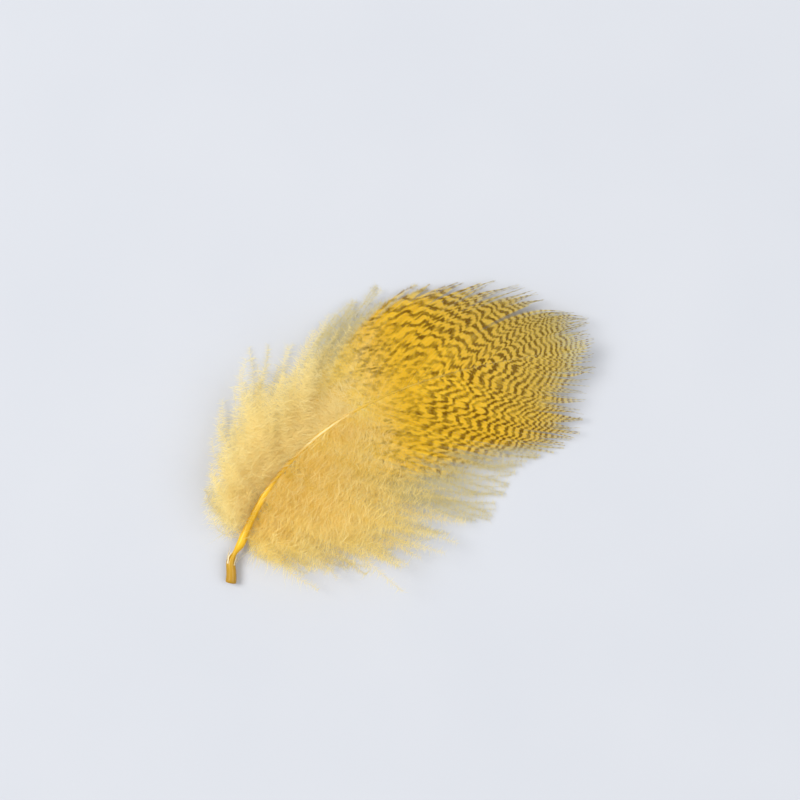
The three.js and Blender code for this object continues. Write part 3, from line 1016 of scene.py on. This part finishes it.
# Materials
class Nodes:
    """A material's node tree, with short calls for the nodes that the feather uses."""

    def __init__(self, name):
        self.material = bpy.data.materials.new(name)
        self.material.use_nodes = True
        self.tree = self.material.node_tree
        self.tree.nodes.clear()

    def node(self, kind, **settings):
        node = self.tree.nodes.new(kind)
        for name, value in settings.items():
            setattr(node, name, value)
        return node

    def link(self, source, target):
        self.tree.links.new(source, target)

    def feed(self, socket, value):
        """Sets a socket to a number or a colour, or links it to another node's output."""
        if isinstance(value, (int, float)):
            socket.default_value = value
        elif isinstance(value, tuple):
            socket.default_value = (*value, 1)
        else:
            self.link(value, socket)

    def value(self, name):
        return self.node("ShaderNodeAttribute", attribute_name=name).outputs["Fac"]

    def math(self, operation, *values):
        node = self.node("ShaderNodeMath", operation=operation)
        for socket, value in zip(node.inputs, values):
            self.feed(socket, value)
        return node.outputs[0]

    def scaled(self, value, factor, shift):
        return self.math("MULTIPLY_ADD", value, factor, shift)

    def clamped(self, value):
        result = self.math("ADD", value, 0.0)
        result.node.use_clamp = True
        return result

    def ramp(self, share, stops):
        node = self.node("ShaderNodeValToRGB")
        elements = node.color_ramp.elements
        while len(elements) < len(stops):
            elements.new(0.5)
        for element, (place, colour) in zip(elements, stops):
            element.position = place
            element.color = (*colour, 1)
        self.link(share, node.inputs["Fac"])
        return node.outputs["Color"]

    def levels(self, share, stops):
        """A ramp of greys."""
        return self.ramp(share, [(place, (level, level, level)) for place, level in stops])

    def mix(self, share, first, second):
        """A mix of two colours. The sockets of a mix node's colours come after those of its other types."""
        node = self.node("ShaderNodeMix", data_type="RGBA")
        for socket, value in ((0, share), (6, first), (7, second)):
            self.feed(node.inputs[socket], value)
        return node.outputs[2]

    def noise(self, scale, detail=2.0, turn=0.0, stretch=1.0):
        """Noise over the piece's own place, longer by stretch in the direction of turn, degrees from X."""
        place = self.node("ShaderNodeTexCoord").outputs["Object"]
        mapping = self.node("ShaderNodeMapping", vector_type="TEXTURE")
        mapping.inputs["Rotation"].default_value = (0, 0, math.radians(turn))
        mapping.inputs["Scale"].default_value = (stretch, 1, 1)
        node = self.node("ShaderNodeTexNoise")
        node.inputs["Scale"].default_value = scale
        node.inputs["Detail"].default_value = detail
        self.link(place, mapping.inputs["Vector"])
        self.link(mapping.outputs["Vector"], node.inputs["Vector"])
        return node.outputs["Fac"]

    def surface(self, colour, roughness):
        surface = self.node("ShaderNodeBsdfPrincipled")
        surface.inputs["Roughness"].default_value = roughness
        self.link(colour, surface.inputs["Base Color"])
        return surface

    def finish(self, shader):
        output = self.node("ShaderNodeOutputMaterial")
        self.link(shader.outputs[0], output.inputs["Surface"])
        return self.material


def feather_shader(nodes, colour, roughness, gloss, through):
    """Keratin strands: a soft gloss, and light that passes through by the share in through."""
    surface = nodes.surface(colour, roughness)
    surface.inputs["Specular IOR Level"].default_value = gloss
    lit = nodes.node("ShaderNodeBsdfTranslucent")
    nodes.link(colour, lit.inputs["Color"])
    both = nodes.node("ShaderNodeMixShader")
    both.inputs[0].default_value = through
    nodes.link(surface.outputs[0], both.inputs[1])
    nodes.link(lit.outputs[0], both.inputs[2])
    return nodes.finish(both)


def bar_share(nodes):
    """How much of the bars' colour shows: bars by phase, dashes where they set in, broken here and there."""
    turn = nodes.math("MULTIPLY", nodes.value("bar_phase"), 2 * math.pi)
    level = nodes.scaled(nodes.math("SINE", turn), 0.5, 0.5)
    dash_noise = nodes.noise(DASH_SCALE, DASH_DETAIL, DASH_TURN, DASH_STRETCH)
    dashed = nodes.mix(nodes.value("bar_dashed"), level, nodes.scaled(dash_noise, *DASH_GAIN))
    dark = nodes.levels(dashed, BAR_LEVELS)
    depth = nodes.value("bar_depth")
    window = nodes.math("MULTIPLY", depth, nodes.scaled(depth, *MOTTLE_WINDOW))
    mottle = nodes.math("MULTIPLY", nodes.scaled(nodes.noise(MOTTLE_SCALE), *MOTTLE_GAIN), window)
    broken = nodes.levels(nodes.noise(BREAK_SCALE), BREAK_LEVELS)
    strength = nodes.math("MULTIPLY", broken, nodes.clamped(nodes.math("ADD", depth, mottle)))
    return nodes.math("MULTIPLY", dark, strength)


def vane_material():
    nodes = Nodes("barred_vane")
    downy = nodes.value("downy")
    streak = nodes.value("streak")
    gold = nodes.ramp(streak, GOLD_RAMP)
    fluff = nodes.ramp(nodes.value("tone"), FLUFF_RAMP)
    wispy = nodes.mix(nodes.levels(streak, WISP_LEVELS), fluff, WISP_COLOUR)
    cream = nodes.mix(downy, gold, wispy)
    # Towards the tip and at the loose ends the ground is mixed towards olive: paler straw with painted
    # shade.
    tipward = nodes.levels(nodes.value("tip"), TIP_LEVELS)
    edge_with_shade = nodes.mix(tipward, cream, TIP_COLOUR_WITH_SHADE)
    loose_end_with_shade = nodes.mix(downy, LOOSE_COLOUR_WITH_SHADE, LOOSE_DOWNY_COLOUR_WITH_SHADE)
    ground = nodes.mix(nodes.value("loose"), edge_with_shade, loose_end_with_shade)
    bar = nodes.mix(tipward, BAR_COLOUR, TIP_BAR_COLOUR)
    colour = nodes.mix(bar_share(nodes), ground, bar)
    return feather_shader(nodes, colour, roughness=0.5, gloss=0.06, through=0.2)


def down_material():
    nodes = Nodes("down")
    strand = nodes.ramp(nodes.value("tone"), DOWN_RAMP)
    patch = nodes.levels(nodes.noise(PATCH_SCALE), PATCH_LEVELS)
    patched = nodes.mix(patch, strand, PATCH_COLOUR)
    tips = nodes.levels(nodes.value("along"), DOWN_TIP_LEVELS)
    tipped = nodes.mix(tips, patched, DOWN_TIP_COLOUR)
    # Painted light: the left down is mixed towards a pale colour to lift its shade.
    colour = nodes.mix(nodes.value("pale"), tipped, PAINTED_LIGHT_DOWN_COLOUR)
    return feather_shader(nodes, colour, roughness=0.7, gloss=0.05, through=0.5)


def shaft_material():
    nodes = Nodes("horn_shaft")
    along = nodes.value("along")
    streak = nodes.levels(nodes.noise(STREAK_SCALE), STREAK_LEVELS)
    streaked = nodes.mix(streak, nodes.ramp(along, HORN_RAMP), STREAK_COLOUR)
    # A painted highlight along the lit top of the shaft, over part of its length.
    lit_top = nodes.levels(nodes.value("ridge"), CREST_HIGHLIGHT_LEVELS)
    painted_highlight = nodes.math("MULTIPLY", nodes.levels(along, HIGHLIGHT_PLACE_LEVELS), lit_top)
    highlighted = nodes.mix(painted_highlight, streaked, CREST_HIGHLIGHT_COLOUR)
    barred = nodes.mix(bar_share(nodes), highlighted, BAR_COLOUR)
    colour = nodes.mix(nodes.value("scrap"), barred, SCRAP_COLOUR)
    return feather_shader(nodes, colour, roughness=0.36, gloss=0.42, through=0.15)


def floor_material():
    nodes = Nodes("pale_floor")
    colour = nodes.ramp(nodes.noise(FLOOR_SCALE), FLOOR_RAMP)
    return nodes.finish(nodes.surface(colour, roughness=0.9))


# Stage, light and camera
def photo_middle():
    """The place on the surface, in the feather's millimetres, under the middle of the photograph."""
    right = (0.5 * FRAME_PIXELS - QUILL_PIXEL[0]) / PIXELS_PER_MM
    up = (QUILL_PIXEL[1] - 0.5 * FRAME_PIXELS) / PIXELS_PER_MM
    tilt = math.radians(FEATHER_TILT)
    return np.array([
        right * math.cos(tilt) + up * math.sin(tilt),
        up * math.cos(tilt) - right * math.sin(tilt),
        0.0,
    ])


def make_floor():
    bpy.ops.mesh.primitive_plane_add(size=FLOOR_SIZE)
    floor = bpy.context.object
    floor.name = "floor"
    floor.data.materials.append(floor_material())


def make_camera():
    camera = bpy.data.cameras.new("camera")
    camera.sensor_width = SENSOR_WIDTH
    camera.lens = SENSOR_WIDTH * CAMERA_DISTANCE / (FRAME_PIXELS / PIXELS_PER_MM * MM)
    camera.clip_start = CAMERA_CLIP_START
    view = bpy.data.objects.new("camera", camera)
    view.location = (photo_middle() + ROW_SHIFT) * MM
    view.location.z = CAMERA_DISTANCE
    view.rotation_euler = (0, 0, -math.radians(FEATHER_TILT))
    bpy.context.collection.objects.link(view)
    bpy.context.scene.camera = view


def make_light(name, azimuth, elevation, distance, size, power):
    """A square softbox aimed at the feather. The azimuth is in the photograph's frame, from its right."""
    light = bpy.data.lights.new(name, "AREA")
    light.size = size
    light.energy = power
    lamp = bpy.data.objects.new(name, light)
    turn = math.radians(azimuth - FEATHER_TILT)
    rise = math.radians(elevation)
    lamp.location = (
        distance * math.cos(rise) * math.cos(turn),
        distance * math.cos(rise) * math.sin(turn),
        distance * math.sin(rise),
    )
    lamp.rotation_euler = (-lamp.location).to_track_quat("-Z", "Y").to_euler()
    bpy.context.collection.objects.link(lamp)


def make_world():
    world = bpy.data.worlds.new("studio")
    world.use_nodes = True
    background = world.node_tree.nodes["Background"]
    background.inputs["Color"].default_value = (*SKY_COLOUR, 1)
    background.inputs["Strength"].default_value = SKY_STRENGTH
    bpy.context.scene.world = world


# The row's frame
def shaft_middle():
    """The middle of the frame's shaft, whose rings are polygons with a corner at the top."""
    place = np.linspace(0, 1, FRAME_SHAFT_SAMPLES)
    centre = shaft_centre(place)
    reach = shaft_radius(place) * math.cos(math.pi / FRAME_SHAFT_SIDES)
    reach[0] *= QUILL_END_ROUNDING
    spread = reach[:, None] * np.abs(sideways(shaft_heading(place)))
    middle = 0.5 * ((centre - spread).min(0) + (centre + spread).max(0))
    return middle * (1, 1, 0)


def row_shift():
    """From the feather's own millimetres to the row's frame, by the shaft's box."""
    low, high = (np.array(corner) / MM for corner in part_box("shaft"))
    return 0.5 * (low + high) * (1, 1, 0) - shaft_middle()


ROW_SHIFT = row_shift()
bpy.context.scene.view_settings.view_transform = "Standard"
make_camera()
make_floor()
make_world()
make_light("softbox", azimuth=165, elevation=49, distance=1.5, size=0.7, power=18.4)
make_light("fill", azimuth=-15, elevation=50, distance=1.0, size=0.8, power=4.6)
vane = vane_material()
down = down_material()
warp = bar_warp()
make_shaft(warp, shaft_material())
for side in (LEFT, RIGHT):
    make_vane(side, warp, vane)
for side in (LEFT, RIGHT):
    make_down(side, down)
    make_veil(side, down)
